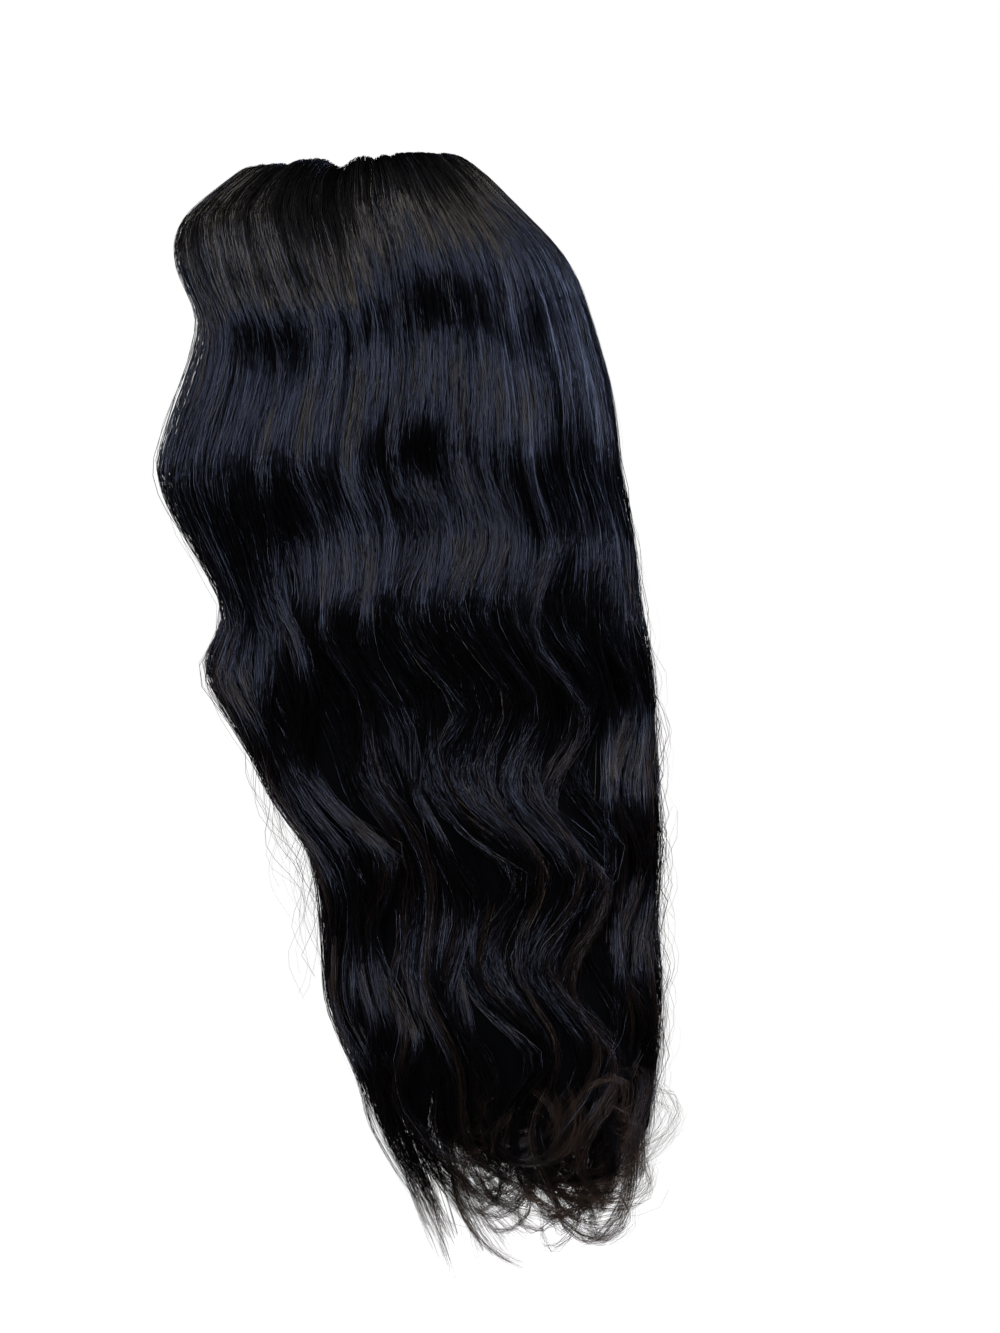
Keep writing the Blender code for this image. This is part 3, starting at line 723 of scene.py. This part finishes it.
def mass_grid(side, columns=49, rows=52):
    """Outer and inner skins of the mass of one half, and each point's place round and along the hair."""
    around = np.linspace(-0.03, 0.985, columns)[None, :] * np.ones((rows, 1))
    ends = MASS_ENDS - MASS_JAG * (1 + np.sin(2 * math.pi * (LOCKS * around + 0.3 * side)))
    fall = np.linspace(0, 1, rows)[:, None] * (ends - MASS_STARTS) + MASS_STARTS
    thick = column("thick", fall) * smoothstep(0, 30 * MM, fall)
    thick = thick * (1 - 0.8 * smoothstep(ends - MASS_THINS_OVER, ends, fall))
    skin = outside(side, around, fall)
    normal = outward(side, around, fall)
    outer = skin - normal * (MASS_FROM * column("thick", fall))[..., None] * smoothstep(0, 30 * MM, fall)[..., None]
    inner = outer - normal * (thick * MASS_THICK)[..., None]
    return outside_head(outer, HAIR_CLEARANCE), outside_head(inner, HAIR_CLEARANCE * 0.8), around, fall


def sew(mesh, grid):
    """Faces between the neighbouring rows of a grid of vertices."""
    for upper, lower in zip(grid, grid[1:]):
        for i in range(len(upper) - 1):
            mesh.faces.new((upper[i], upper[i + 1], lower[i + 1], lower[i]))


packed = hair_mass()
for side, word in ((1, "left"), (-1, "right")):
    outer, inner, around, fall = mass_grid(side)
    mesh = bmesh.new()
    layer = mesh.loops.layers.uv.new("along")
    place = {}
    skins = []
    for points in (outer, inner):
        grid = [[mesh.verts.new(point) for point in row] for row in points]
        for i, row in enumerate(grid):
            for j, vert in enumerate(row):
                place[vert] = (around[i, j], fall[i, j] / MASS_ENDS)
        skins.append(grid)
    sew(mesh, skins[0])
    sew(mesh, skins[1])
    for line in (0, -1):
        sew(mesh, [skins[0][line], skins[1][line]])
        sew(mesh, [[row[line] for row in skins[0]], [row[line] for row in skins[1]]])
    bmesh.ops.recalc_face_normals(mesh, faces=mesh.faces)
    for face in mesh.faces:
        face.smooth = True
        for loop in face.loops:
            loop[layer].uv = place[loop.vert]
    data = bpy.data.meshes.new(f"hair_mass_{word}")
    mesh.to_mesh(data)
    mesh.free()
    data.materials.append(packed)
    mass = bpy.data.objects.new(data.name, data)
    bpy.context.scene.collection.objects.link(mass)
    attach(mass, "root")


# The stage: a pale floor well below the wig that fades into the white all round.
FLOOR_LEVEL = -0.74
FLOOR_RADIUS = 1.6


def add_floor():
    bpy.ops.mesh.primitive_circle_add(vertices=96, radius=FLOOR_RADIUS, fill_type="NGON", location=(0, 0, FLOOR_LEVEL))
    floor = bpy.context.object
    floor.name = "floor"
    material, tree, shader = new_material("pale_floor", {"Roughness": 0.9, "Specular IOR Level": 0.1})
    shader.inputs["Base Color"].default_value = linear("#fbf3e4")
    shader.inputs["Emission Color"].default_value = (1, 1, 1, 1)
    shader.inputs["Emission Strength"].default_value = 0.8
    place = add_node(tree, "TexCoord")
    scaled = add_node(tree, "Mapping", {"Vector": place.outputs["Object"], "Scale": (1 / FLOOR_RADIUS,) * 3})
    radial = add_node(tree, "TexGradient", {"Vector": scaled.outputs["Vector"]}, gradient_type="SPHERICAL")
    fade = add_node(tree, "ValToRGB", {"Fac": radial.outputs["Fac"]})
    fade.color_ramp.elements[1].position = 0.6
    tree.links.new(fade.outputs["Color"], shader.inputs["Alpha"])
    floor.data.materials.append(material)
    floor.visible_glossy = False


add_floor()

world = bpy.data.worlds.new("white_studio")
world.use_nodes = True
world.node_tree.nodes["Background"].inputs["Color"].default_value = (1, 1, 1, 1)
world.node_tree.nodes["Background"].inputs["Strength"].default_value = 1.0
world.cycles_visibility.diffuse = False
world.cycles_visibility.glossy = False
bpy.context.scene.world = world
bpy.context.scene.view_settings.view_transform = "Standard"

# name, bearing of the light, its elevation, distance, width and height in metres, colour, watts per square metre
LIGHTS = (
    ("window", 90, 27, 5.2, 3.4, 1.2, "#bccdff", 46),
    ("lamp", 90, 57, 4.4, 2.4, 1.5, "#fff3e6", 34),
    ("front_window", 0, 22, 5.6, 2.8, 1.2, "#bccdff", 26),
    ("back_window", 205, 22, 5.6, 3.4, 1.2, "#bccdff", 26),
    ("ceiling", 90, 86, 3.0, 3.0, 3.0, "#ffffff", 0.6),
)
AIM = Vector((0, 0.02, -0.28))
for name, bearing, elevation, distance, width, height, colour, strength in LIGHTS:
    lamp = bpy.data.lights.new(name, "AREA")
    lamp.shape = "RECTANGLE"
    lamp.size = width
    lamp.size_y = height
    lamp.color = linear(colour)[:3]
    lamp.energy = strength * width * height
    made = bpy.data.objects.new(name, lamp)
    a, e = math.radians(bearing), math.radians(elevation)
    out = Vector((math.sin(a) * math.cos(e), -math.cos(a) * math.cos(e), math.sin(e)))
    made.location = AIM + out * distance
    made.rotation_mode = "QUATERNION"
    made.rotation_quaternion = (-out).to_track_quat("-Z", "Y")
    bpy.context.scene.collection.objects.link(made)

# The camera: level with the middle of the hair, square to the wearer's left side.
METRES_PER_PIXEL = 0.575 * MM
IMAGE_HEIGHT = 1333
CAMERA_DISTANCE = 3.0
VIEW_CENTRE = Vector((0, 54.6 * MM, -275.7 * MM))
camera_data = bpy.data.cameras.new("camera")
camera_data.sensor_width = 36
camera_data.lens = 36 * CAMERA_DISTANCE / (IMAGE_HEIGHT * METRES_PER_PIXEL)
camera = bpy.data.objects.new("camera", camera_data)
camera.location = VIEW_CENTRE + Vector((CAMERA_DISTANCE, 0, 0))
camera.rotation_mode = "QUATERNION"
camera.rotation_quaternion = Vector((-1, 0, 0)).to_track_quat("-Z", "Y")
bpy.context.scene.collection.objects.link(camera)
bpy.context.scene.camera = camera
